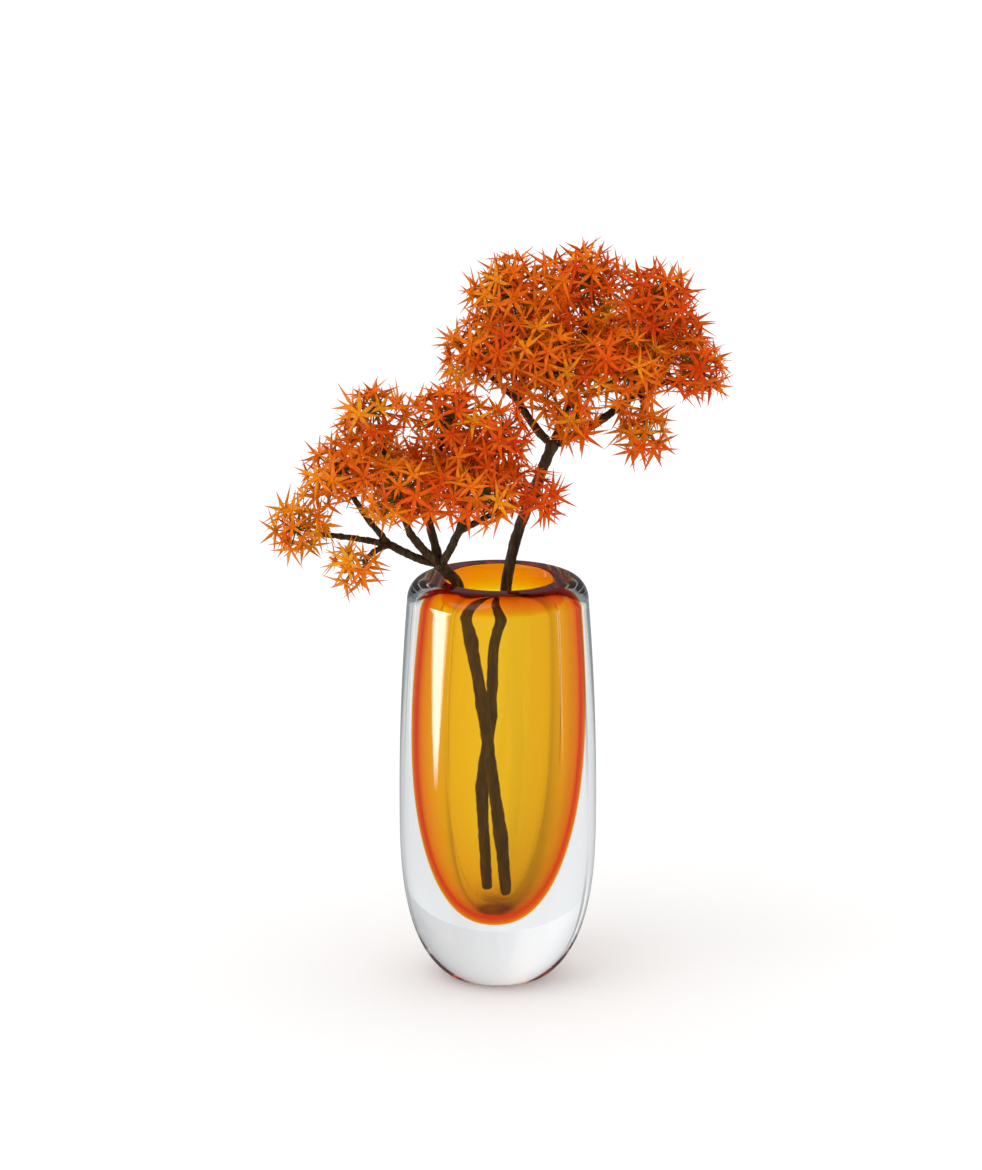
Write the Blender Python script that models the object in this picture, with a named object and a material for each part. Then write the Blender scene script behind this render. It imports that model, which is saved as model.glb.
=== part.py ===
"""A thick cased-glass bud vase with two flowering stems standing in it.

Units are metres and +Z is up. The origin is the centre of the foot's flat face, on the table.
The vase is a clear casing blown over an amber bubble. Each stem is a woody main stem, its boughs with
their twigs, and a flower cluster on each twig. Both stems lift out of the mouth.
"""

import math

import bmesh
import bpy
from mathutils import Matrix, Vector

MM = 0.001
GAP = 0.3 * MM  # clearance between pieces that touch

# Outer shape of the casing
VASE_HEIGHT = 180 * MM
FOOT_RADIUS = 20.5 * MM
FOOT_EDGE_RISE = 0.8 * MM
BELLY_RADIUS = 43.2 * MM
BELLY_HEIGHT = 80 * MM
HULL_POWER = 2.8  # how square the lower hull is between an ellipse, 2, and a box
HULL_START = -4 * MM  # the hull's curve would close this far under the table
SHOULDER_RADIUS = 39.6 * MM
SHOULDER_DROP = 10 * MM  # below the top
CROWN_RADIUS = 31 * MM  # the rim's highest ring

# Amber bubble, measured on the outside of the liner
BUBBLE_RADIUS = 25 * MM
BUBBLE_HEIGHT = 118 * MM  # where the bubble is widest
BUBBLE_FLOOR = 29 * MM
BUBBLE_POWER = 2.4
THROAT_RADIUS = 23.1 * MM
THROAT_DROP = 12 * MM
LIP_RADIUS = 26.8 * MM
LIP_DROP = 4 * MM  # the liner's side stands upright from here to the top
LINER_WALL = 1.7 * MM
LINER_FLOOR = 3.6 * MM
MOUTH_RADIUS = 25.2 * MM
BUBBLE_LEAN = math.radians(0.9)  # towards +X at the top
LEAN_HEIGHT = 100 * MM  # the height at which the leaning axis crosses the vase's own

GLASS_SIDES = 40

# Wood
STEM_RADIUS = 2.6 * MM
FOOT_REST = 1.0 * MM  # a foot's middle stands this far over the bowl's height at the foot's edge
KNOT_SWELL = 1.22
KNOT_HALF_LENGTH = 3 * MM
FOOT_TAPER = 1.06  # the main stem's radius at its foot and at its fork, as shares of its own
FORK_TAPER = 0.92
BOUGH_RADIUS = 1.9 * MM
FORK_KNOT_RADIUS = 3.1 * MM  # the swelling that the boughs grow from
LIMB_SAG = 0.05  # how far a limb sags, as a share of its length
TWIG_RADIUS = 1.15 * MM
TWIG_SQUARE = 2 * MM  # a twig's last stretch, square to its cluster
TWIG_BOW = 0.06  # how far a twig bows out, as a share of its length
WOOD_BEVEL = 2  # gives eight sides
TWIG_BEVEL = 1  # gives six

# Flowers
CORE_SHARE = 0.6  # a cluster's solid core, as a share of its radius
SHORT_PETAL = 0.88  # every third petal, as a share of the cluster's radius
STALK_CONE = math.radians(38)  # kept free of petals around the twig


def glass_material(name, colour, roughness):
    material = plain_material(name, colour, roughness)
    shader = material.node_tree.nodes["Principled BSDF"]
    shader.inputs["Transmission Weight"].default_value = 1.0
    shader.inputs["IOR"].default_value = 1.5
    return material


def plain_material(name, colour, roughness):
    material = bpy.data.materials.new(name)
    material.use_nodes = True
    shader = material.node_tree.nodes["Principled BSDF"]
    shader.inputs["Base Color"].default_value = (*colour, 1.0)
    shader.inputs["Roughness"].default_value = roughness
    shader.inputs["Metallic"].default_value = 0.0
    return material


def add_object(name, mesh, parent=None):
    piece = bpy.data.objects.new(name, mesh)
    bpy.context.scene.collection.objects.link(piece)
    if parent is not None:
        piece.parent = parent
        piece.matrix_parent_inverse = Matrix.Translation(parent.location).inverted()
    return piece


def mesh_of(name, shape):
    bmesh.ops.recalc_face_normals(shape, faces=shape.faces)
    mesh = bpy.data.meshes.new(name)
    shape.to_mesh(mesh)
    shape.free()
    return mesh


def shade(mesh, angle):
    mesh.shade_smooth()
    mesh.set_sharp_from_angle(angle=angle)


# --- The vase -----------------------------------------------------------------------------------------


def superellipse(top, bottom, radius, height, power):
    """Radius at a height, on a quarter curve that is widest at top and closes at bottom."""
    down = min(max((top - height) / (top - bottom), 0.0), 1.0)
    return radius * (1.0 - down**power) ** (1.0 / power)


def steps(first, last, count):
    return [first + (last - first) * i / count for i in range(count + 1)]


def casing_outline():
    """(radius, height) pairs from the middle of the foot, up the outside, to the middle of the top."""
    outline = [(0.0, 0.0), (FOOT_RADIUS, 0.0)]
    for turn in steps(math.pi / 2, 0.0, 8):
        height = BELLY_HEIGHT - (BELLY_HEIGHT - FOOT_EDGE_RISE) * math.sin(turn)
        outline.append((hull_radius(height), height))
    shoulder = VASE_HEIGHT - SHOULDER_DROP
    for height in steps(BELLY_HEIGHT, shoulder, 4)[1:]:
        outline.append((upper_radius(height), height))
    for turn in steps(0.0, math.pi / 2, 6)[1:]:
        across = (SHOULDER_RADIUS - CROWN_RADIUS) * math.cos(turn)
        outline.append((CROWN_RADIUS + across, shoulder + SHOULDER_DROP * math.sin(turn)))
    outline.append((0.0, VASE_HEIGHT))
    return outline


def hull_radius(height):
    return superellipse(BELLY_HEIGHT, HULL_START, BELLY_RADIUS, height, HULL_POWER)


def upper_radius(height):
    """The wall leans in from the belly to the shoulder on a gentle bow."""
    shoulder = VASE_HEIGHT - SHOULDER_DROP
    up = (height - BELLY_HEIGHT) / (shoulder - BELLY_HEIGHT)
    return BELLY_RADIUS - (BELLY_RADIUS - SHOULDER_RADIUS) * up**2


def bubble_radius(height):
    """Outside radius of the amber bubble, from its floor to its throat."""
    if height < BUBBLE_HEIGHT:
        return superellipse(BUBBLE_HEIGHT, BUBBLE_FLOOR, BUBBLE_RADIUS, height, BUBBLE_POWER)
    up = (height - BUBBLE_HEIGHT) / (VASE_HEIGHT - THROAT_DROP - BUBBLE_HEIGHT)
    return BUBBLE_RADIUS - (BUBBLE_RADIUS - THROAT_RADIUS) * up**1.6


def bubble_outline(grow):
    """The bubble's outside from the middle of its floor to its lip, grown by a margin."""
    outline = [(0.0, BUBBLE_FLOOR - grow)]
    depth = BUBBLE_HEIGHT - BUBBLE_FLOOR
    for turn in steps(math.pi / 2, 0.0, 7)[1:]:
        height = BUBBLE_HEIGHT - depth * math.sin(turn)
        outline.append((bubble_radius(height) + grow, height - grow * math.sin(turn)))
    throat = VASE_HEIGHT - THROAT_DROP
    for height in steps(BUBBLE_HEIGHT, throat, 3)[1:]:
        outline.append((bubble_radius(height) + grow, height))
    flare = THROAT_DROP - LIP_DROP
    for turn in steps(0.0, math.pi / 2, 3)[1:]:
        across = (LIP_RADIUS - THROAT_RADIUS) * (1.0 - math.cos(turn))
        outline.append((THROAT_RADIUS + across + grow, throat + flare * math.sin(turn)))
    return outline


def liner_outline():
    """The whole section of the liner: up its outside, over the lip and down its inside."""
    outline = bubble_outline(0.0)
    outline.append((LIP_RADIUS, VASE_HEIGHT - 0.4 * MM))
    outline.append((LIP_RADIUS - 0.5 * MM, VASE_HEIGHT))
    throat = VASE_HEIGHT - THROAT_DROP
    inner_throat = THROAT_RADIUS - LINER_WALL
    for turn in steps(math.pi / 2, 0.0, 4):
        across = (MOUTH_RADIUS - inner_throat) * (1.0 - math.cos(turn))
        outline.append((inner_throat + across, throat + THROAT_DROP * math.sin(turn)))
    for height in steps(throat, BUBBLE_HEIGHT, 2)[1:]:
        outline.append((bubble_radius(height) - LINER_WALL, height))
    depth = BUBBLE_HEIGHT - cavity_floor()
    for turn in steps(0.0, math.pi / 2, 7)[1:-1]:
        height = BUBBLE_HEIGHT - depth * math.sin(turn)
        outline.append((cavity_radius(height), height))
    outline.append((0.0, cavity_floor()))
    return outline


def cavity_floor():
    return BUBBLE_FLOOR + LINER_FLOOR


def cavity_radius(height):
    """Inside radius of the liner, below the bubble's widest ring."""
    widest = BUBBLE_RADIUS - LINER_WALL
    return superellipse(BUBBLE_HEIGHT, cavity_floor(), widest, height, BUBBLE_POWER)


def floor_height(radius):
    """How high the bowl of the cavity stands at a distance from its axis."""
    widest = BUBBLE_RADIUS - LINER_WALL
    down = (1.0 - (radius / widest) ** BUBBLE_POWER) ** (1.0 / BUBBLE_POWER)
    return BUBBLE_HEIGHT - (BUBBLE_HEIGHT - cavity_floor()) * down


def turned(name, outline):
    """A closed body turned about Z from a section that starts and ends on the axis."""
    shape = bmesh.new()
    points = [shape.verts.new((radius, 0.0, height)) for radius, height in outline]
    edges = [shape.edges.new(pair) for pair in zip(points, points[1:])]
    bmesh.ops.spin(
        shape,
        geom=points + edges,
        cent=(0, 0, 0),
        axis=(0, 0, 1),
        dvec=(0, 0, 0),
        angle=math.tau,
        steps=GLASS_SIDES,
        use_merge=True,
        use_duplicate=False,
    )
    bmesh.ops.remove_doubles(shape, verts=shape.verts, dist=0.01 * MM)
    return mesh_of(name, shape)


def bubble_lean():
    """The small lean of the bubble and all that lines it. Every ring of it stays level."""
    lean = Matrix.Identity(4)
    lean[0][2] = math.tan(BUBBLE_LEAN)
    pivot = Matrix.Translation((0, 0, LEAN_HEIGHT))
    return pivot @ lean @ pivot.inverted()


def build_vase():
    clear = glass_material("clear_glass", (0.95, 0.96, 0.97), 0.02)
    amber = glass_material("amber_glass", (0.95, 0.45, 0.05), 0.02)

    casing = add_object("clear_casing", turned("clear_casing", casing_outline()))
    casing.data.materials.append(clear)
    shade(casing.data, math.radians(50))

    void_outline = bubble_outline(GAP)
    above = VASE_HEIGHT + 5 * MM
    void_outline += [(LIP_RADIUS + GAP, above), (0.0, above)]
    void = add_object("bubble_cutter", turned("bubble_cutter", void_outline))
    void.data.transform(bubble_lean())
    void.hide_render = True
    void.display_type = "WIRE"
    cut = casing.modifiers.new("bubble", "BOOLEAN")
    cut.operation = "DIFFERENCE"
    cut.solver = "EXACT"
    cut.object = void

    liner = add_object("amber_liner", turned("amber_liner", liner_outline()))
    liner.data.transform(bubble_lean())
    liner.data.materials.append(amber)
    shade(liner.data, math.radians(50))


# --- Wood ---------------------------------------------------------------------------------------------


def tube_mesh(name, points, radii, bevel):
    """A capped round bar through points, with a radius at each."""
    curve = bpy.data.curves.new(name, "CURVE")
    curve.dimensions = "3D"
    curve.bevel_depth = 1.0
    curve.bevel_resolution = bevel
    curve.use_fill_caps = True
    spline = curve.splines.new("POLY")
    spline.points.add(len(points) - 1)
    for spot, point, radius in zip(spline.points, points, radii):
        spot.co = (*point, 1.0)
        spot.radius = radius
    holder = bpy.data.objects.new(name, curve)
    bpy.context.scene.collection.objects.link(holder)
    bpy.context.view_layer.update()
    graph = bpy.context.evaluated_depsgraph_get()
    mesh = bpy.data.meshes.new_from_object(holder.evaluated_get(graph))
    bpy.data.objects.remove(holder)
    shape = bmesh.new()
    shape.from_mesh(mesh)
    bmesh.ops.remove_doubles(shape, verts=shape.verts, dist=0.001 * MM)
    return mesh_of(name, shape)


def boolean_mesh(name, base, others, operation):
    """The mesh of base joined with, or cut by, each of the other meshes."""
    holder = bpy.data.objects.new(name, base)
    bpy.context.scene.collection.objects.link(holder)
    helpers = []
    for other in others:
        helper = bpy.data.objects.new(f"{name}_helper", other)
        bpy.context.scene.collection.objects.link(helper)
        step = holder.modifiers.new(operation, "BOOLEAN")
        step.operation = operation
        step.solver = "EXACT"
        step.object = helper
        helpers.append(helper)
    bpy.context.view_layer.update()
    graph = bpy.context.evaluated_depsgraph_get()
    mesh = bpy.data.meshes.new_from_object(holder.evaluated_get(graph))
    for extra in [holder, *helpers]:
        bpy.data.objects.remove(extra)
    return mesh


def curved(points, per_span):
    """Points on a smooth curve through a few given ones."""
    ends = [points[0] * 2 - points[1], *points, points[-1] * 2 - points[-2]]
    path = []
    for before, start, stop, after in zip(ends, ends[1:], ends[2:], ends[3:]):
        for i in range(per_span):
            t = i / per_span
            bend = start * 2 + (stop - before) * t
            bend += (before * 2 - start * 5 + stop * 4 - after) * t**2
            bend += (start * 3 - before - stop * 3 + after) * t**3
            path.append(bend / 2)
    return [*path, points[-1]]


def main_stem(name, points, knots, grow=0.0):
    """A main stem through its points. It swells at the heights in knots, and at its fork."""
    path = curved(points, 3)
    low, high = path[0].z, path[-1].z
    radii = []
    for point in path:
        taper = FOOT_TAPER + (FORK_TAPER - FOOT_TAPER) * (point.z - low) / (high - low)
        swell = 1.0
        for knot in knots:
            near = max(0.0, 1.0 - abs(point.z - knot) / (2 * KNOT_HALF_LENGTH))
            swell = max(swell, 1.0 + (KNOT_SWELL - 1.0) * near)
        radii.append(STEM_RADIUS * taper * swell + grow)
    bar = tube_mesh(name, path, radii, WOOD_BEVEL)
    return boolean_mesh(name, bar, [ball_mesh(name, path[-1], FORK_KNOT_RADIUS + grow)], "UNION")


def ball_mesh(name, centre, radius):
    shape = bmesh.new()
    place = Matrix.Translation(centre)
    bmesh.ops.create_icosphere(shape, subdivisions=2, radius=radius, matrix=place)
    return mesh_of(name, shape)


def bough_limb(name, fork, knuckle, grow=0.0):
    """The bare limb of a bough, from the fork to the knuckle where its twigs part."""
    middle = (fork + knuckle) / 2 + Vector((0, 0, -LIMB_SAG * (knuckle - fork).length))
    path = curved([fork, middle, knuckle], 2)
    radii = [BOUGH_RADIUS * (1.0 - 0.12 * i / (len(path) - 1)) + grow for i in range(len(path))]
    return tube_mesh(name, path, radii, WOOD_BEVEL)


def twig(name, knuckle, rise, tip, stalk):
    """A twig from inside the knuckle to a cluster, leaving along the limb and ending along the stalk."""
    before_tip = tip + stalk * TWIG_SQUARE
    middle = (knuckle + before_tip) / 2 + rise * TWIG_BOW * (tip - knuckle).length
    path = [*curved([knuckle, middle, before_tip], 2), tip]
    radii = [TWIG_RADIUS * (1.25 - 0.25 * i / (len(path) - 1)) for i in range(len(path))]
    return tube_mesh(name, path, radii, TWIG_BEVEL)


# --- Flowers ------------------------------------------------------------------------------------------


def cluster_mesh(name, centre, radius, stalk):
    """A ball of petal spikes, and the middle of the bare facet that it turns to its stalk."""
    shape = bmesh.new()
    bmesh.ops.create_icosphere(shape, subdivisions=2, radius=radius * CORE_SHARE)
    shape.normal_update()
    facet = min(shape.faces, key=lambda face: face.normal.z)
    turn = facet.normal.rotation_difference(stalk).to_matrix().to_4x4()
    bmesh.ops.transform(shape, matrix=turn, verts=shape.verts)
    shape.normal_update()
    bare = facet.calc_center_median()
    spiked = [face for face in shape.faces if face.normal.angle(stalk) > STALK_CONE]
    for index, face in enumerate(spiked):
        tip = face.normal * radius * (SHORT_PETAL if index % 3 == 0 else 1.0)
        poked = bmesh.ops.poke(shape, faces=[face])
        poked["verts"][0].co = tip
    bmesh.ops.translate(shape, vec=centre, verts=shape.verts)
    mesh = mesh_of(name, shape)
    return mesh, centre + bare


# --- The two flowering stems --------------------------------------------------------------------------

# Where each stem runs inside the vase: its height between foot and rim, then across and into the depth, as
# shares of the room that the throat leaves a stem. Above the rim, points are in millimetres from the rim's
# middle. A bough has its knuckle, and a cluster its bough, its place in the head and its radius.
TALL = {
    "name": "tall",
    "in_vase": [
        (0.00, -0.26, 0.22),
        (0.33, -0.40, 0.31),
        (0.47, -0.27, 0.34),
        (0.56, -0.19, 0.37),
        (0.70, -0.16, 0.40),
        (0.79, -0.12, 0.44),
        (0.89, 0.13, 0.48),
        (1.00, 0.25, 0.52),
    ],
    "above": [(9.6, 11, 20), (23.5, 15, 55)],
    "knots": (0.33, 0.56, 0.89),
    "boughs": {
        "left": (8.5, 20, 74),
        "middle": (33, 24, 78),
        "right": (62, 27, 77),
    },
    "head": (36, 28, 103),
    "clusters": {
        "outer_left": ("left", (-46, -4, -12), 15),
        "front_left": ("left", (-14, -18, -13), 17),
        "back_left": ("left", (-17, 21, -9), 17),
        "top_left": ("left", (-30, -1, 18), 17),
        "top_middle": ("middle", (5, 0, 21), 17),
        "back_right": ("middle", (16, 20, -11), 15),
        "low_middle": ("middle", (-2, -23, -36), 9),
        "front_right": ("right", (21, -18, -13), 17),
        "outer_right": ("right", (52, -6, -17), 14),
        "back_outer_right": ("right", (46, 22, -8), 14),
        "top_right": ("right", (38, 0, 14), 15),
        "low_right": ("right", (29, -10, -44), 11),
    },
}
SHORT = {
    "name": "short",
    "in_vase": [
        (0.00, 0.24, -0.11),
        (0.20, 0.07, -0.15),
        (0.42, -0.17, -0.18),
        (0.61, -0.37, -0.21),
        (0.71, -0.50, -0.23),
        (0.81, -0.64, -0.24),
        (0.92, -0.82, -0.26),
        (1.00, -1.02, -0.28),
    ],
    "above": [(-22.3, -6.4, 3.6), (-24.8, -8, 7.5)],
    "knots": (0.20, 0.61, 0.81),
    "boughs": {
        "outer": (-47, -14, 18),
        "left": (-38, -22, 25),
        "middle": (-30, -7, 27),
        "right": (-17, -20, 25),
    },
    "head": (-28, -26, 57),
    "clusters": {
        "far_left": ("outer", (-58, -4, -29), 13),
        "low_left": ("outer", (-33, -12, -43), 11),
        "outer_left": ("outer", (-41, 0, -4), 16),
        "front_left": ("left", (-13, -17, -12), 16),
        "top_left": ("left", (-25, -1, 22), 13),
        "back_left": ("middle", (-15, 19, -8), 15),
        "top_middle": ("middle", (6, 0, 19), 15),
        "front_right": ("right", (20, -16, -11), 16),
        "outer_right": ("right", (46, -2, -14), 13),
        "back_right": ("right", (17, 18, -9), 15),
        "top_right": ("right", (30, -2, 12), 12),
    },
}


def above_rim(offset):
    """A point given in millimetres from the middle of the rim."""
    return Vector(offset) * MM + Vector((0, 0, VASE_HEIGHT))


def stem_points(design):
    """The main stem's points from its foot, which stands on the bowl of the cavity, to its fork."""
    room = THROAT_RADIUS - LINER_WALL - STEM_RADIUS * KNOT_SWELL
    _, across, deep = design["in_vase"][0]
    bowl_axis = (cavity_floor() - LEAN_HEIGHT) * math.tan(BUBBLE_LEAN)
    from_axis = math.hypot(across * room - bowl_axis, deep * room)
    foot = floor_height(from_axis + STEM_RADIUS * FOOT_TAPER) + FOOT_REST
    points = []
    for up, across, deep in design["in_vase"]:
        points.append(Vector((across * room, deep * room, foot + up * (VASE_HEIGHT - foot))))
    return points + [above_rim(offset) for offset in design["above"]]


def build_flowering_stem(design, bark, blossom):
    name = design["name"]
    points = stem_points(design)
    foot, fork = points[0], points[-1]
    knots = [foot.z + share * (VASE_HEIGHT - foot.z) for share in design["knots"]]

    carrier = bpy.data.objects.new(f"{name}_stem_carrier", None)
    carrier.location = foot
    bpy.context.scene.collection.objects.link(carrier)

    def add_piece(piece_name, mesh, material, angle):
        mesh.materials.clear()
        mesh.materials.append(material)
        shade(mesh, math.radians(angle))
        add_object(piece_name, mesh, carrier)

    add_piece(f"{name}_main_stem", main_stem(f"{name}_main_stem", points, knots), bark, 60)

    head = above_rim(design["head"])
    cutters = [main_stem(f"{name}_stem_room", points, knots, GAP)]
    for bough, offset in design["boughs"].items():
        knuckle = above_rim(offset)
        rise = (knuckle - fork).normalized()
        twigs = []
        for cluster, (carried_by, place, radius) in design["clusters"].items():
            if carried_by != bough:
                continue
            centre = head + Vector(place) * MM
            stalk = (knuckle - centre).normalized()
            cluster_name = f"{name}_cluster_{cluster}"
            mesh, facet = cluster_mesh(cluster_name, centre, radius * MM, stalk)
            add_piece(cluster_name, mesh, blossom, 20)
            twigs.append(twig(f"{cluster_name}_twig", knuckle, rise, facet + stalk * GAP, stalk))
        bough_name = f"{name}_bough_{bough}"
        limb = bough_limb(bough_name, fork, knuckle)
        whole = boolean_mesh(bough_name, limb, twigs, "UNION")
        add_piece(bough_name, boolean_mesh(bough_name, whole, cutters, "DIFFERENCE"), bark, 60)
        cutters.append(bough_limb(f"{bough_name}_room", fork, knuckle, GAP))


def clear_scene():
    for left_over in list(bpy.data.objects):
        bpy.data.objects.remove(left_over)


def main():
    clear_scene()
    build_vase()
    bark = plain_material("stem_bark", (0.09, 0.06, 0.03), 0.8)
    blossom = plain_material("blossom", (0.85, 0.22, 0.03), 0.6)
    build_flowering_stem(TALL, bark, blossom)
    build_flowering_stem(SHORT, bark, blossom)


main()
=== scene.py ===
"""A cased-glass bud vase with two flowering stems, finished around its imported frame.

The vase gets real thick glass with an amber layer inside it. The wood gets bark, and each flower cluster
gets its own spray of narrow-petalled florets on fine stalks.
"""

import math
import random
from typing import NamedTuple

import bmesh
import bpy
from mathutils import Matrix, Vector, noise


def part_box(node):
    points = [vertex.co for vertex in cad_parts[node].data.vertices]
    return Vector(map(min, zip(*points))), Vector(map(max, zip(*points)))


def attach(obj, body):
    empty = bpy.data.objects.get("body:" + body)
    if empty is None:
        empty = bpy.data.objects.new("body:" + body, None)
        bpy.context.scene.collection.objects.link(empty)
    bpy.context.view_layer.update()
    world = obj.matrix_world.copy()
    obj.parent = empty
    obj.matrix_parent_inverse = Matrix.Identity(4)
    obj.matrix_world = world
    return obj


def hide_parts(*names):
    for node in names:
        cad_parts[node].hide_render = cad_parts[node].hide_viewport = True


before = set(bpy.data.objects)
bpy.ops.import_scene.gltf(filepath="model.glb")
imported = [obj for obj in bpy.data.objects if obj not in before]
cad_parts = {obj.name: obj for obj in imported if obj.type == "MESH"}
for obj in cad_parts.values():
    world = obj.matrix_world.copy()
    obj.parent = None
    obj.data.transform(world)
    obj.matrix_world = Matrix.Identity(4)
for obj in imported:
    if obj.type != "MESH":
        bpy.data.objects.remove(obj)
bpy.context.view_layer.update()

MM = 0.001
MERGE = 0.001 * MM  # points closer than this are one
HAIR = 0.01 * MM
STEMS = ("tall", "short")

# The vase. Its height, its belly and the floor of its bubble come from the frame; the rest are a
# glassblower's sizes.
casing_low, casing_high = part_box("clear_casing")
liner_low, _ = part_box("amber_liner")
VASE_HEIGHT = casing_high[2]
BELLY_RADIUS = (casing_high[0] - casing_low[0]) / 2
BELLY_HEIGHT = 80 * MM
FOOT_RADIUS = 20.5 * MM
FOOT_EDGE = 0.6 * MM  # the foot's edge is rounded over this width
FOOT_EDGE_HEIGHT = 0.15 * MM
HULL_POWER = 2.8
HULL_START = -4 * MM  # where the hull's curve would close, below the foot that is ground flat
HULL_LOWEST = 0.8 * MM
SHOULDER_RADIUS = 39.6 * MM
SHOULDER_DROP = 10 * MM
CROWN_RADIUS = 31 * MM
BUBBLE_RADIUS = 25 * MM
BUBBLE_HEIGHT = 118 * MM
BUBBLE_FLOOR = liner_low[2]
BUBBLE_POWER = 2.4
THROAT_RADIUS = 23.1 * MM
THROAT_DROP = 12 * MM
THROAT_POWER = 1.6
LINER_WALL = 1.7 * MM
LINER_FLOOR = 3.6 * MM
MOUTH_RADIUS = 25.2 * MM
BUBBLE_LEAN = math.radians(0.9)
LEAN_HEIGHT = 100 * MM
LEAN_LOST = 0.35  # share of the lean that is gone where the lip meets the crown
GLASS_SIDES = 128
HULL_RINGS = 44  # rings of glass from the foot to the belly, and so on round the outline
WALL_RINGS = 30
SHOULDER_RINGS = 18
CROWN_RINGS = 8
LIP_RINGS = 16
THROAT_RINGS = 18
BUBBLE_RINGS = 44
AMBER_LIP = 32.5 * MM  # the amber is drawn outwards over the lip
COLLAR_POWER = 0.7
AMBER_BELOW_RIM = 0.3 * MM
AMBER_SET_BACK = 0.04 * MM  # clear skin between the amber and the air of the cavity

# Wood
STEM_MELT = 0.6 * MM  # how finely a stem's joined tubes are melted together
BOUGH_MELT = 0.4 * MM
SMOOTHING_ROUNDS = 3
BARK_SWELL = 0.16 * MM  # closes the hairline joint between a bough and its stem
# Ridges, lumps and grain: how closely they stand across and along the stem, per mm, and their height
BARK_RELIEF = [(0.9, 0.16, 0.22 * MM), (0.33, 0.33, 0.3 * MM), (2.2, 2.2, 0.09 * MM)]


class Spike(NamedTuple):
    """The sizes of a floret's petal, sepal or stamen."""

    length: float
    width: float
    thickness: float
    waist: float  # where it is widest, as a share of its length
    start: float  # how far from the floret's middle it starts


# Florets. Angles are in radians, and a tilt is how far a spike leans forwards.
PETAL = Spike(10.6 * MM, 2.1 * MM, 0.95 * MM, 0.26, 0.5 * MM)
SEPAL = Spike(5.3 * MM, 1.155 * MM, 0.6 * MM, 0.3, 0.3 * MM)
STAMEN = Spike(3.6 * MM, 0.42 * MM, 0.42 * MM, 0.8, 0.4 * MM)
FLORET_KINDS = 12
PETAL_COUNTS = (6, 6, 7)
PETAL_STRETCH = (0.84, 1.12)
PETAL_DRIFT = 0.17
PETAL_TILT_DRIFT = 0.14
PETAL_DROOP = 0.14  # most that a petal's tip hangs back, as a share of its length
OPENINGS = (0.05, 0.62)  # tilt of all the petals of a floret
SEPALS = 4
SEPAL_DRIFT = 0.3
SEPAL_TILTS = (-0.5, -0.1)
STAMENS = 3
STAMEN_DRIFT = 0.5
STAMEN_TILTS = (0.8, 1.25)
CENTRE_RADII = (1.25 * MM, 0.5 * MM)
CENTRE_DEPTH = 1.3 * MM
STALK_RADIUS = 0.32 * MM
STALK_FOOT = 1.25  # how much thicker a stalk is at its foot
STALK_START = -0.1  # stalks start a little beyond the cluster's middle
# Where a point lies along its floret, for the petal's colours
CENTRE_AT = 0.0
PETAL_BASE_AT = 0.12
PETAL_TIP_AT = 0.5
STALK_AT = 1.0

# Heads
HEAD_SEEDS = {"tall": 11, "short": 12}
DARTS = 2000  # tries at placing a floret, for each cluster
DART_REACH = (0.15, 1.5)
FLORET_SPACING = 6.5 * MM
FILL = 0.8  # how soon the florets thin out away from a cluster's middle
SKIN_LOW = {"tall": 0.55, "short": 0.59}  # the florets reach further out where this is low
SKIN_SIDE = {"tall": 0.12, "short": 0.0}  # the tall head grows fuller towards the light on its left
SKIN_HIGH = 2.1
LOWEST_FACING = -0.8  # no florets point straight down
FLORET_SIZES = (0.78, 1.2)
MOST_WOBBLE = 0.45  # radians that a floret may face away from straight outwards
# A floret's warmth runs from 0, yellow-orange, to 1, red. It holds the florets' own colour and painted shade
# together
WARMTH_LOWEST = -0.02
# Painted shade: florets grow redder and darker towards the right, away from the key light on the left
PAINTED_SHADE_ACROSS = 0.5
WARMTH_UP = 0.16
# Painted shade: florets that face forwards are redder and darker, so those at the head's outline stay paler,
# a painted backlight
PAINTED_SHADE_IN_FRONT = 0.3
WARMTH_SPREAD = 0.15
YELLOW_SHARE = 0.1  # florets that are yellow wherever they stand
YELLOW_WARMTH = (0.0, 0.2)

# Camera
VIEW_ELEVATION = math.radians(14)
VIEW_DISTANCE = 2.6
VIEW_TARGET = Vector((-0.003, 0.0, 0.1764))
FRAMED_HEIGHT = 0.5095  # height of the view at the target
SENSOR = 36.0

# Light. Bearings about the vase are in degrees: 0 is its right side, 90 behind it and 180 its left side.
KEY_DIRECTION = (-0.55, -0.45, 1.0)
KEY_STRENGTH = 0.55
KEY_SPREAD = math.radians(50)
FLOOR_RADIUS = 30.0
FLOOR = 0.975
FLOOR_GLOW = 0.05  # added for the camera only
FLOOR_GAP = 0.2 * MM  # the foot stands on its ground rim, a hair above the floor
# Painted shade: the floor is dark grey in the glass's reflections, though white everywhere else
FLOOR_SHADE_IN_REFLECTION = 0.3
# Painted shade: greys of the floor by bearing about the vase, seen only by rays through the glass
FLOOR_SHADE_THROUGH_GLASS = [
    (-180, 0.86),
    (-100, 0.86),
    (-20, 0.57),
    (8, 0.58),
    (28, 0.8),
    (45, 0.9),
    (75, 0.85),
    (92, 0.94),
    (150, 0.93),
    (165, 0.86),
    (178, 0.57),
]
ROOM_LIGHT = 0.91
ROOM_IN_REFLECTION = 0.15
ROOM_THROUGH_GLASS = [
    (-180, 0.9),
    (40, 0.72),
    (74, 0.83),
    (88, 0.89),
    (96, 0.96),
    (104, 1.06),
    (120, 1.1),
    (180, 0.9),
]
INNER_REFLECTIONS = (1.0, 3.0)  # light dims from the first of these counts of reflections to the second
INNER_DIMMING = 0.5
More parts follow.
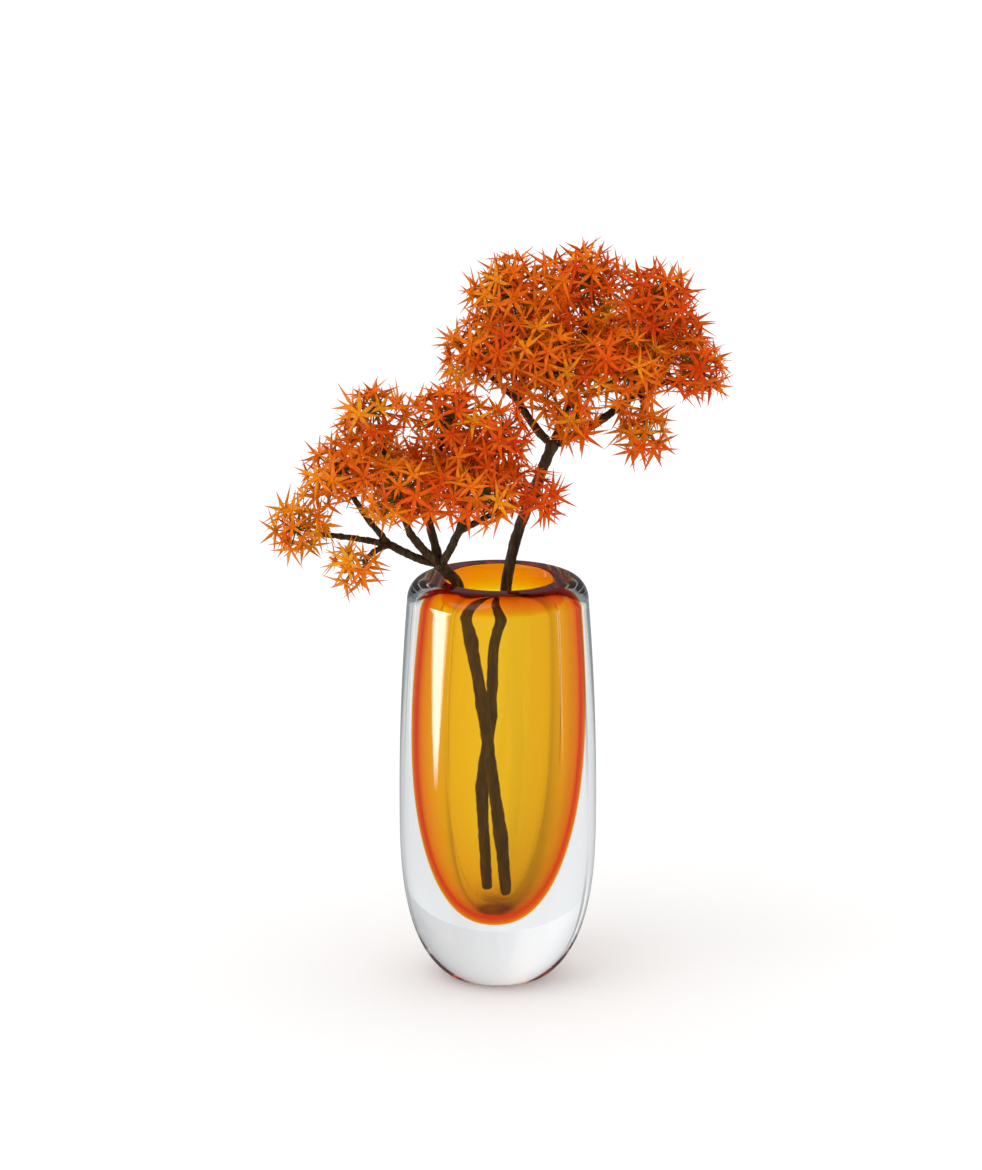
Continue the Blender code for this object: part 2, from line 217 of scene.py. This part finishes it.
# Softboxes and flags: name, bearing, distance, width at the floor and at the top, height, strength,
# and whether the glass shows it by looking through as well as by mirroring
STUDIO_CARDS = [
    ("softbox_left", 196, 0.38, 0.04, 0.28, 0.20, 16.0, False),
    ("softbox_left_back", 148, 0.37, 0.03, 0.06, 0.40, 1.5, True),
    ("flag_left_back", 139, 0.25, 0.03, 0.008, 0.16, 0.5, True),
    ("softbox_right", -12, 0.42, 0.015, 0.07, 0.20, 2.5, False),
    ("flag_right_back", 33, 0.24, 0.02, 0.008, 0.20, 0.5, True),
]
CARD_FOOT_FADE = 35 * MM  # the cards' light fades out over this height above the floor
CARD_SIDE_FADE = (0.22, 0.5)  # and between these shares of its width from its middle


def steps(first, last, count):
    """Evenly spaced values, both ends among them."""
    return [first + (last - first) * i / count for i in range(count + 1)]


def smoothstep(low, high, value):
    """Rises softly from 0 at the low value to 1 at the high one."""
    t = min(max((value - low) / (high - low), 0.0), 1.0)
    return t * t * (3.0 - 2.0 * t)


# --- Pieces -------------------------------------------------------------------------------------------


def add_object(name, shape, material):
    """Makes an object of a bmesh, and frees the bmesh."""
    mesh = bpy.data.meshes.new(name)
    shape.to_mesh(mesh)
    shape.free()
    mesh.materials.append(material)
    made = bpy.data.objects.new(name, mesh)
    bpy.context.scene.collection.objects.link(made)
    return made


def add_piece(name, shape, material, body, node):
    """Makes a finished piece of a bmesh and puts it in the frame in a node's place."""
    piece = add_object(name, shape, material)
    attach(piece, body)
    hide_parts(node)
    return piece


def add_stage_piece(name, shape, material):
    piece = add_object(name, shape, material)
    return piece


# --- Materials ----------------------------------------------------------------------------------------


class NodeTree:
    """A tree of shader nodes, with short calls for its nodes and links."""

    def __init__(self, tree):
        self.tree = tree

    def node(self, kind, **settings):
        made = self.tree.nodes.new(f"ShaderNode{kind}")
        for setting, value in settings.items():
            setattr(made, setting, value)
        return made

    def link(self, out, into):
        self.tree.links.new(out, into)

    def place(self):
        return self.node("TexCoord").outputs["Object"]

    def noise(self, place, scale, detail=4.0, roughness=0.55, stretch=None):
        if stretch is not None:
            mapping = self.node("Mapping")
            mapping.inputs["Scale"].default_value = stretch
            self.link(place, mapping.inputs["Vector"])
            place = mapping.outputs["Vector"]
        made = self.node("TexNoise")
        made.inputs["Scale"].default_value = scale
        made.inputs["Detail"].default_value = detail
        made.inputs["Roughness"].default_value = roughness
        self.link(place, made.inputs["Vector"])
        return made.outputs["Fac"]

    def attribute(self, name):
        return self.node("Attribute", attribute_name=name).outputs["Fac"]

    def ramp(self, fac, stops):
        made = self.node("ValToRGB")
        made.color_ramp.elements.remove(made.color_ramp.elements[0])
        for i, (spot, colour) in enumerate(stops):
            element = made.color_ramp.elements[0] if i == 0 else made.color_ramp.elements.new(spot)
            element.position = spot
            element.color = (*colour, 1.0)
        self.link(fac, made.inputs["Fac"])
        return made.outputs["Color"]

    def multiply(self, first, second):
        mix = self.node("Mix", data_type="RGBA", blend_type="MULTIPLY")
        mix.inputs["Factor"].default_value = 1.0
        self.link(first, mix.inputs["A"])
        self.link(second, mix.inputs["B"])
        return mix.outputs["Result"]

    def on_ray(self, kind, otherwise, seen):
        """What a ray of the kind given sees, such as Is Camera Ray, and what the others do."""
        mix = self.node("Mix", data_type="RGBA")
        self.link(self.node("LightPath").outputs[kind], mix.inputs["Factor"])
        for socket, value in (("A", otherwise), ("B", seen)):
            if isinstance(value, float):
                mix.inputs[socket].default_value = (value, value, value, 1.0)
            else:
                self.link(value, mix.inputs[socket])
        return mix.outputs["Result"]

    def through_glass(self, stops):
        """Greys by the bearing about the vase, dimmed as a ray's reflections inside the glass add up."""
        bearing = self.node("TexGradient", gradient_type="RADIAL")
        self.link(self.place(), bearing.inputs["Vector"])
        greys = self.ramp(bearing.outputs["Fac"], [((turn + 180) / 360, (g, g, g)) for turn, g in stops])
        dim = self.node("MapRange")
        dim.inputs["From Min"].default_value = INNER_REFLECTIONS[0]
        dim.inputs["From Max"].default_value = INNER_REFLECTIONS[1]
        dim.inputs["To Min"].default_value = 1.0
        dim.inputs["To Max"].default_value = INNER_DIMMING
        self.link(self.node("LightPath").outputs["Glossy Depth"], dim.inputs["Value"])
        return self.multiply(greys, dim.outputs["Result"])


class Finish(NodeTree):
    """A material and its node tree."""

    def __init__(self, name):
        self.material = bpy.data.materials.new(name)
        self.material.use_nodes = True
        super().__init__(self.material.node_tree)
        self.shader = self.tree.nodes["Principled BSDF"]
        self.output = self.tree.nodes["Material Output"]

    def set(self, **values):
        for name, value in values.items():
            self.shader.inputs[name.replace("_", " ")].default_value = value

    def colour(self, out):
        self.link(out, self.shader.inputs["Base Color"])

    def bump(self, height, strength, distance):
        made = self.node("Bump")
        made.inputs["Strength"].default_value = strength
        made.inputs["Distance"].default_value = distance
        self.link(height, made.inputs["Height"])
        self.link(made.outputs["Normal"], self.shader.inputs["Normal"])


def glass(name, index, colour, density):
    """Smooth glass, whose colour deepens with its thickness."""
    finish = Finish(name)
    finish.set(Base_Color=(1.0, 1.0, 1.0, 1.0), Roughness=0.0, IOR=index, Transmission_Weight=1.0)
    absorb = finish.node("VolumeAbsorption")
    absorb.inputs["Color"].default_value = (*colour, 1.0)
    absorb.inputs["Density"].default_value = density
    finish.link(absorb.outputs["Volume"], finish.output.inputs["Volume"])
    return finish.material


def bark():
    """Dark brown wood with a grain along the stem and patches of olive."""
    finish = Finish("stem_bark")
    place = finish.place()
    grain = finish.noise(place, 420.0, 6.0, 0.65, stretch=(1.0, 1.0, 0.22))
    patches = finish.noise(place, 90.0, 3.0)
    brown = finish.ramp(
        grain,
        [(0.30, (0.016, 0.007, 0.002)), (0.52, (0.056, 0.028, 0.007)), (0.74, (0.15, 0.088, 0.03))],
    )
    olive = finish.ramp(patches, [(0.42, (1.0, 1.0, 1.0)), (0.66, (0.86, 1.0, 0.62))])
    finish.colour(finish.multiply(brown, olive))
    finish.set(Roughness=0.72, Specular_IOR_Level=0.3)
    finish.bump(grain, 0.5, 0.3 * MM)
    return finish.material


def petal():
    """Orange to red by the floret's warmth, which carries painted shade across the head, deepening from the
    petal's base to its tip, with brown stalks.
    """
    finish = Finish("petal")
    warm_and_shade = finish.ramp(
        finish.attribute("warmth_and_shade"),
        [
            (0.0, (0.95, 0.42, 0.012)),
            (0.35, (0.93, 0.24, 0.006)),
            (0.7, (0.86, 0.125, 0.004)),
            (1.0, (0.72, 0.062, 0.003)),
        ],
    )
    deep = finish.ramp(
        finish.attribute("along"),
        [
            (0.08, (1.0, 1.0, 1.0)),
            (0.38, (0.86, 0.62, 0.6)),
            (PETAL_TIP_AT, (0.5, 0.26, 0.3)),
            (0.75, (0.14, 0.3, 0.8)),
        ],
    )
    mottle = finish.noise(finish.place(), 700.0, 3.0)
    shade = finish.ramp(mottle, [(0.3, (0.82, 0.78, 0.75)), (0.6, (1.0, 1.0, 1.0))])
    finish.colour(finish.multiply(finish.multiply(warm_and_shade, deep), shade))
    finish.set(Roughness=0.55, Specular_IOR_Level=0.08)
    finish.bump(mottle, 0.25, 0.15 * MM)
    return finish.material


# --- The glass ----------------------------------------------------------------------------------------


def superellipse(top, bottom, radius, height, power):
    """A radius that is full at the top and closes at the bottom, squarer with a higher power."""
    down = min(max((top - height) / (top - bottom), 0.0), 1.0)
    return radius * (1.0 - down**power) ** (1.0 / power)


def outer_outline():
    """The casing's outside, from the middle of the foot to the crown of the rim."""
    outline = [(0.0, 0.0), (FOOT_RADIUS * 0.5, 0.0), (FOOT_RADIUS - FOOT_EDGE, 0.0)]
    outline.append((FOOT_RADIUS, FOOT_EDGE_HEIGHT))
    for turn in steps(math.pi / 2, 0.0, HULL_RINGS):
        height = BELLY_HEIGHT - (BELLY_HEIGHT - HULL_LOWEST) * math.sin(turn)
        outline.append((superellipse(BELLY_HEIGHT, HULL_START, BELLY_RADIUS, height, HULL_POWER), height))
    shoulder = VASE_HEIGHT - SHOULDER_DROP
    for height in steps(BELLY_HEIGHT, shoulder, WALL_RINGS)[1:]:
        up = (height - BELLY_HEIGHT) / (shoulder - BELLY_HEIGHT)
        outline.append((BELLY_RADIUS - (BELLY_RADIUS - SHOULDER_RADIUS) * up**2, height))
    for turn in steps(0.0, math.pi / 2, SHOULDER_RINGS)[1:]:
        across = (SHOULDER_RADIUS - CROWN_RADIUS) * math.cos(turn)
        outline.append((CROWN_RADIUS + across, shoulder + SHOULDER_DROP * math.sin(turn)))
    return outline


def bubble_outline(wall, floor_wall, lip, collar=False):
    """A surface inside the bubble, set in from its outside by a wall, from its lip down to its floor.

    Its lip flares as a quarter of an ellipse, or as a fuller collar of amber.
    """
    floor = BUBBLE_FLOOR + floor_wall
    throat = VASE_HEIGHT - THROAT_DROP
    inner_throat = THROAT_RADIUS - wall
    outline = []
    for turn in steps(math.pi / 2, 0.0, LIP_RINGS):
        flare = math.sin(turn) ** COLLAR_POWER if collar else 1.0 - math.cos(turn)
        outline.append((inner_throat + (lip - inner_throat) * flare, throat + THROAT_DROP * math.sin(turn)))
    for height in steps(throat, BUBBLE_HEIGHT, THROAT_RINGS)[1:]:
        up = (height - BUBBLE_HEIGHT) / (throat - BUBBLE_HEIGHT)
        outline.append((BUBBLE_RADIUS - (BUBBLE_RADIUS - THROAT_RADIUS) * up**THROAT_POWER - wall, height))
    for turn in steps(0.0, math.pi / 2, BUBBLE_RINGS)[1:-1]:
        height = BUBBLE_HEIGHT - (BUBBLE_HEIGHT - floor) * math.sin(turn)
        radius = superellipse(BUBBLE_HEIGHT, floor, BUBBLE_RADIUS - wall, height, BUBBLE_POWER)
        outline.append((radius, height))
    outline.append((0.0, floor))
    return outline


def inside_bubble(point):
    """Whether a point of the wall is on the cavity's side, and not on the outside of the casing."""
    return point.z > BUBBLE_FLOOR and math.hypot(point.x, point.y) < MOUTH_RADIUS + HAIR


def lean(verts):
    """Moves each ring of the bubble sideways with its height, by the bubble's small lean."""
    for vert in verts:
        kept = 1.0 - smoothstep(VASE_HEIGHT - THROAT_DROP, VASE_HEIGHT, vert.co.z) * LEAN_LOST
        vert.co.x += (vert.co.z - LEAN_HEIGHT) * math.tan(BUBBLE_LEAN) * kept


def spin_outline(shape, outline):
    """Turns an outline about the vase's axis."""
    points = [shape.verts.new((radius, 0.0, height)) for radius, height in outline]
    edges = [shape.edges.new(pair) for pair in zip(points, points[1:])]
    bmesh.ops.spin(
        shape,
        geom=points + edges,
        cent=(0, 0, 0),
        axis=(0, 0, 1),
        dvec=(0, 0, 0),
        angle=math.tau,
        steps=GLASS_SIDES,
        use_merge=True,
        use_duplicate=False,
    )


def close_up(shape):
    """Merges the poles of a spun shape, turns its faces outwards and smooths them."""
    bmesh.ops.remove_doubles(shape, verts=shape.verts, dist=MERGE)
    bmesh.ops.recalc_face_normals(shape, faces=shape.faces)
    for face in shape.faces:
        face.smooth = True


def build_casing():
    """The clear wall and base, from the foot over the crown and down into the cavity."""
    shape = bmesh.new()
    crown = [(radius, VASE_HEIGHT) for radius in steps(CROWN_RADIUS, MOUTH_RADIUS, CROWN_RINGS)[1:-1]]
    cavity = bubble_outline(LINER_WALL, LINER_FLOOR, MOUTH_RADIUS)
    spin_outline(shape, outer_outline() + crown + cavity)
    lean([vert for vert in shape.verts if inside_bubble(vert.co)])
    close_up(shape)
    clear = glass("clear_glass", index=1.5, colour=(0.86, 0.9, 0.92), density=9.0)
    add_piece("vase_glass", shape, clear, "vase", "clear_casing")


def build_amber():
    """The amber layer. It lies within the clear wall, so it bends no light of its own."""
    shape = bmesh.new()
    back = AMBER_SET_BACK
    inner = bubble_outline(LINER_WALL - back, LINER_FLOOR - back, MOUTH_RADIUS + back)
    outer = bubble_outline(0.0, 0.0, AMBER_LIP, collar=True)
    outline = [point for point in outer[::-1] + inner if point[1] < VASE_HEIGHT - AMBER_BELOW_RIM]
    spin_outline(shape, outline)
    lean(shape.verts)
    close_up(shape)
    amber = glass("amber_glass", index=1.0, colour=(0.99, 0.877, 0.0), density=1500.0)
    add_piece("amber_layer", shape, amber, "vase", "amber_liner")


# --- Wood ---------------------------------------------------------------------------------------------


def settle(piece):
    """Applies a piece's modifiers to its mesh."""
    depsgraph = bpy.context.evaluated_depsgraph_get()
    mesh = bpy.data.meshes.new_from_object(piece.evaluated_get(depsgraph))
    piece.modifiers.clear()
    piece.data = mesh


def build_wood(node, melt, material):
    """A node's wood with bark on it: joined tubes melted together, then swollen by rough noise."""
    source = bmesh.new()
    source.from_mesh(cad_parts[node].data)
    bmesh.ops.remove_doubles(source, verts=source.verts, dist=MERGE)
    name = node.replace("_main_stem", "_stem_wood").replace("_bough_", "_wood_")
    body = node.split("_")[0] + "_stem"
    piece = add_piece(name, source, material, body, node)
    remesh = piece.modifiers.new("melt", "REMESH")
    remesh.mode = "VOXEL"
    remesh.voxel_size = melt
    settle(piece)
    rough = bmesh.new()
    rough.from_mesh(piece.data)
    for _ in range(SMOOTHING_ROUNDS):
        bmesh.ops.smooth_vert(
            rough, verts=rough.verts, factor=0.5, use_axis_x=True, use_axis_y=True, use_axis_z=True
        )
    rough.normal_update()
    for vert in rough.verts:
        place = vert.co / MM
        swell = BARK_SWELL
        for across, along, height in BARK_RELIEF:
            swell += height * noise.noise(Vector((place.x * across, place.y * across, place.z * along)))
        vert.co += vert.normal * swell
    for face in rough.faces:
        face.smooth = True
    rough.to_mesh(piece.data)
    rough.free()
    piece.data.materials.clear()
    piece.data.materials.append(material)


def build_all_wood():
    """Both main stems and then their boughs, with one bark."""
    material = bark()
    for stem in STEMS:
        build_wood(f"{stem}_main_stem", STEM_MELT, material)
    for node in sorted(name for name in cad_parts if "_bough_" in name):
        build_wood(node, BOUGH_MELT, material)


# --- Flowers ------------------------------------------------------------------------------------------


def add_spike(shape, spike, length, turn, tilt):
    """A three-sided spike that widens to its waist and ends in a point, laid out along its turn."""
    made = bmesh.ops.create_cone(
        shape, cap_ends=True, cap_tris=False, segments=3, radius1=0.3, radius2=0.5, depth=spike.waist
    )["verts"]
    faces = {face for vert in made for face in vert.link_faces}
    top = max(faces, key=lambda face: face.calc_center_median().z)
    tip = bmesh.ops.poke(shape, faces=[top])["verts"][0]
    tip.co.z = 1.0 - spike.waist / 2
    made = [*made, tip]
    place = (
        Matrix.Rotation(turn, 4, "Z")
        @ Matrix.Translation((spike.start, 0, 0))
        @ Matrix.Rotation(math.pi / 2 - tilt, 4, "Y")
        @ Matrix.Diagonal((spike.thickness, spike.width, length, 1))
        @ Matrix.Rotation(math.pi, 4, "Z")
        @ Matrix.Translation((0, 0, spike.waist / 2))
    )
    bmesh.ops.transform(shape, matrix=place, verts=made)
    along = shape.verts.layers.float["along"]
    for vert in made:
        vert[along] = PETAL_BASE_AT
    tip[along] = PETAL_TIP_AT
    return tip


def floret_mesh(seed):
    """One star: six or seven long keeled petals, short sepals behind them, a low centre and stamens."""
    draw = random.Random(seed)
    shape = bmesh.new()
    along = shape.verts.layers.float.new("along")
    petals = draw.choice(PETAL_COUNTS)
    opening = draw.uniform(*OPENINGS)
    for i in range(petals):
        length = PETAL.length * draw.uniform(*PETAL_STRETCH)
        turn = math.tau * i / petals + draw.uniform(-PETAL_DRIFT, PETAL_DRIFT)
        tilt = opening + draw.uniform(-PETAL_TILT_DRIFT, PETAL_TILT_DRIFT)
        tip = add_spike(shape, PETAL, length, turn, tilt)
        tip.co.z -= length * draw.uniform(0.0, PETAL_DROOP)
    for i in range(SEPALS):
        turn = math.tau * (i + 0.5) / SEPALS + draw.uniform(-SEPAL_DRIFT, SEPAL_DRIFT)
        add_spike(shape, SEPAL, SEPAL.length, turn, draw.uniform(*SEPAL_TILTS))
    for i in range(STAMENS):
        turn = math.tau * i / STAMENS + draw.uniform(-STAMEN_DRIFT, STAMEN_DRIFT)
        add_spike(shape, STAMEN, STAMEN.length, turn, draw.uniform(*STAMEN_TILTS))
    back, front = CENTRE_RADII
    centre = bmesh.ops.create_cone(
        shape, cap_ends=True, segments=6, radius1=back, radius2=front, depth=CENTRE_DEPTH
    )["verts"]
    for vert in centre:
        vert[along] = CENTRE_AT
    mesh = bpy.data.meshes.new("floret")
    shape.to_mesh(mesh)
    shape.free()
    return mesh


def add_stalk(shape, start, end):
    """A thin three-sided stalk between two points, thicker at its foot."""
    reach = end - start
    made = bmesh.ops.create_cone(
        shape,
        cap_ends=True,
        segments=3,
        radius1=STALK_RADIUS * STALK_FOOT,
        radius2=STALK_RADIUS,
        depth=reach.length,
    )["verts"]
    place = Matrix.Translation((start + end) / 2) @ reach.to_track_quat("Z", "Y").to_matrix().to_4x4()
    bmesh.ops.transform(shape, matrix=place, verts=made)
    along = shape.verts.layers.float["along"]
    for vert in made:
        vert[along] = STALK_AT


class Head:
    """All the clusters of one stem, and the places of their florets."""

    def __init__(self, stem):
        self.draw = random.Random(HEAD_SEEDS[stem])
        self.skin_low = SKIN_LOW[stem]
        self.skin_side = SKIN_SIDE[stem]
        self.nodes = sorted(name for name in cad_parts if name.startswith(f"{stem}_cluster_"))
        self.balls = {}
        for name in self.nodes:
            low, high = (Vector(corner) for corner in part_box(name))
            self.balls[name] = ((low + high) / 2, (high - low).length / (2 * math.sqrt(3)))
        self.low = Vector(min(c[i] - r for c, r in self.balls.values()) for i in range(3))
        self.high = Vector(max(c[i] + r for c, r in self.balls.values()) for i in range(3))
        self.places = []

    @staticmethod
    def share(point, ball):
        """How deep a point lies in one cluster, falling away from its middle."""
        centre, radius = ball
        return math.exp(-FILL * ((point - centre).length / radius) ** 2)

    def fullness(self, point):
        """How deep a point lies in the head: it grows towards a cluster's middle and between clusters."""
        return sum(self.share(point, ball) for ball in self.balls.values())

    def outwards(self, point):
        """The way out of the head at a point, which is the way a floret there faces."""
        total = Vector()
        for ball in self.balls.values():
            centre, radius = ball
            total += (point - centre) * self.share(point, ball) / radius**2
        return total.normalized()

    def nearest(self, point):
        """The cluster that a floret at a point belongs to."""
        return min(self.nodes, key=lambda n: (point - self.balls[n][0]).length / self.balls[n][1])

    def scatter(self):
        """Places florets over the blended surface of the clusters, each facing outwards."""
        for name in self.nodes:
            centre, radius = self.balls[name]
            for _ in range(DARTS):
                aim = Vector([self.draw.gauss(0, 1) for _ in range(3)]).normalized()
                point = centre + aim * radius * self.draw.uniform(*DART_REACH)
                facing = self.outwards(point)
                if not self.skin_low + self.skin_side * facing.x < self.fullness(point) < SKIN_HIGH:
                    continue
                if facing.z < LOWEST_FACING:
                    continue
                if any((point - other).length < FLORET_SPACING for other, _, _ in self.places):
                    continue
                self.places.append((point, facing, self.nearest(point)))

    def warmth_and_shade(self, point, facing):
        """A floret's warmth, with painted shade in it: less at the lit left, low down and at the head's
        outline, which stays paler as a painted backlight.
        """
        if self.draw.random() < YELLOW_SHARE:
            return self.draw.uniform(*YELLOW_WARMTH)
        across = (point.x - self.low.x) / (self.high.x - self.low.x)
        up = (point.z - self.low.z) / (self.high.z - self.low.z)
        # Redder higher up and at random is the florets' own colour; redder to the right and facing forwards
        # is painted shade
        warmth_and_shade = WARMTH_LOWEST + PAINTED_SHADE_ACROSS * across + WARMTH_UP * up
        warmth_and_shade += PAINTED_SHADE_IN_FRONT * max(-facing.y, 0.0) + self.draw.gauss(0, WARMTH_SPREAD)
        return min(max(warmth_and_shade, 0.0), 1.0)

    def floret(self, kinds, point, facing):
        """A copy of one kind of floret, turned, sized and coloured for its place."""
        mesh = self.draw.choice(kinds).copy()
        turn = facing.to_track_quat("Z", "Y").to_matrix().to_4x4()
        sideways = self.draw.uniform(0, math.tau)
        hinge = Vector((math.cos(sideways), math.sin(sideways), 0.0))
        wobble = Matrix.Rotation(self.draw.uniform(0.0, MOST_WOBBLE), 4, hinge)
        spin = Matrix.Rotation(self.draw.uniform(0, math.tau), 4, "Z")
        size = self.draw.uniform(*FLORET_SIZES)
        mesh.transform(Matrix.Translation(point) @ turn @ wobble @ spin @ Matrix.Scale(size, 4))
        warmth_and_shade = mesh.attributes.new("warmth_and_shade", "FLOAT", "POINT")
        warmth_and_shade.data.foreach_set("value", [self.warmth_and_shade(point, facing)] * len(mesh.vertices))
        return mesh


def build_head(stem, material, kinds):
    """Every cluster of a stem, each a piece of its own with its florets and their stalks."""
    head = Head(stem)
    head.scatter()
    for name in head.nodes:
        shape = bmesh.new()
        shape.verts.layers.float.new("along")
        shape.verts.layers.float.new("warmth_and_shade")
        centre, _ = head.balls[name]
        for point, facing, owner in head.places:
            if owner != name:
                continue
            mesh = head.floret(kinds, point, facing)
            shape.from_mesh(mesh)
            bpy.data.meshes.remove(mesh)
            add_stalk(shape, centre.lerp(point, STALK_START), point)
        for face in shape.faces:
            face.smooth = False
        add_piece(name.replace("_cluster_", "_florets_"), shape, material, f"{stem}_stem", name)


# --- Stage --------------------------------------------------------------------------------------------


def build_camera():
    camera = bpy.data.objects.new("camera", bpy.data.cameras.new("camera"))
    bpy.context.scene.collection.objects.link(camera)
    back = Vector((0.0, -math.cos(VIEW_ELEVATION), math.sin(VIEW_ELEVATION)))
    camera.location = VIEW_TARGET + back * VIEW_DISTANCE
    camera.rotation_euler = (math.pi / 2 - VIEW_ELEVATION, 0.0, 0.0)
    camera.data.sensor_fit = "VERTICAL"
    camera.data.sensor_height = SENSOR
    camera.data.lens = SENSOR * VIEW_DISTANCE / FRAMED_HEIGHT
    camera.data.clip_end = 100.0
    bpy.context.scene.camera = camera


def build_key_light():
    data = bpy.data.lights.new("key", "SUN")
    data.energy = KEY_STRENGTH
    data.angle = KEY_SPREAD
    lamp = bpy.data.objects.new("key", data)
    lamp.rotation_euler = Vector(KEY_DIRECTION).to_track_quat("Z", "Y").to_euler()
    bpy.context.scene.collection.objects.link(lamp)


def build_floor():
    """A white floor with painted shade, which the glass shows darker in its reflections and by the bearing
    behind it.
    """
    shape = bmesh.new()
    bmesh.ops.create_circle(shape, cap_ends=True, segments=96, radius=FLOOR_RADIUS)
    bmesh.ops.translate(shape, vec=(0, 0, -FLOOR_GAP), verts=shape.verts)
    finish = Finish("floor_white")
    seen = finish.on_ray("Is Glossy Ray", FLOOR, FLOOR_SHADE_IN_REFLECTION)
    seen = finish.on_ray("Is Transmission Ray", seen, finish.through_glass(FLOOR_SHADE_THROUGH_GLASS))
    finish.colour(seen)
    glow = finish.on_ray("Is Camera Ray", 0.0, FLOOR_GLOW)
    finish.link(glow, finish.shader.inputs["Emission Color"])
    finish.set(Roughness=1.0, Specular_IOR_Level=0.0, Emission_Strength=1.0)
    add_stage_piece("floor", shape, finish.material)


def build_world():
    """Even room light with a white backdrop, darker in reflections and by the bearing through the glass."""
    world = bpy.data.worlds.new("studio")
    bpy.context.scene.world = world
    world.use_nodes = True
    room = NodeTree(world.node_tree)
    seen = room.on_ray("Is Glossy Ray", ROOM_LIGHT, ROOM_IN_REFLECTION)
    seen = room.on_ray("Is Transmission Ray", seen, room.through_glass(ROOM_THROUGH_GLASS))
    seen = room.on_ray("Is Camera Ray", seen, 1.0)
    room.link(seen, room.tree.nodes["Background"].inputs["Color"])


def add_studio_card(name, bearing, away, low_width, high_width, height, strength, seen_through):
    """A soft-edged card standing on the floor. Only glass and gloss see it, so it lights nothing else."""
    shape = bmesh.new()
    bmesh.ops.create_grid(shape, x_segments=12, y_segments=10, size=0.5)
    glow = shape.verts.layers.float.new("glow")
    for vert in shape.verts:
        up = vert.co.y + 0.5
        sides = 1.0 - smoothstep(*CARD_SIDE_FADE, abs(vert.co.x))
        vert[glow] = sides * smoothstep(0.0, CARD_FOOT_FADE, up * height)
        width = low_width + (high_width - low_width) * up
        vert.co = Vector((vert.co.x * width, 0, up * height))
    turn = math.radians(bearing)
    place = Matrix.Rotation(turn - math.pi / 2, 4, "Z") @ Matrix.Translation((0, away, 0))
    bmesh.ops.transform(shape, matrix=place, verts=shape.verts)
    finish = Finish(name)
    emission = finish.node("Emission")
    emission.inputs["Strength"].default_value = strength
    clear = finish.node("BsdfTransparent")
    mix = finish.node("MixShader")
    finish.link(finish.attribute("glow"), mix.inputs["Fac"])
    finish.link(clear.outputs["BSDF"], mix.inputs[1])
    finish.link(emission.outputs["Emission"], mix.inputs[2])
    finish.link(mix.outputs["Shader"], finish.output.inputs["Surface"])
    card = add_stage_piece(name, shape, finish.material)
    card.visible_camera = False
    card.visible_diffuse = False
    card.visible_shadow = False
    card.visible_transmission = seen_through


def build_stage():
    scene = bpy.context.scene
    scene.view_settings.view_transform = "Standard"
    # Light crosses many faces of glass and amber before it leaves the vase
    scene.cycles.max_bounces = 32
    scene.cycles.glossy_bounces = 24
    scene.cycles.transmission_bounces = 24
    build_camera()
    build_floor()
    build_world()
    for card in STUDIO_CARDS:
        add_studio_card(*card)
    build_key_light()


build_stage()
build_casing()
build_amber()
build_all_wood()
petal_material = petal()
floret_kinds = [floret_mesh(seed) for seed in range(FLORET_KINDS)]
for stem in STEMS:
    build_head(stem, petal_material, floret_kinds)
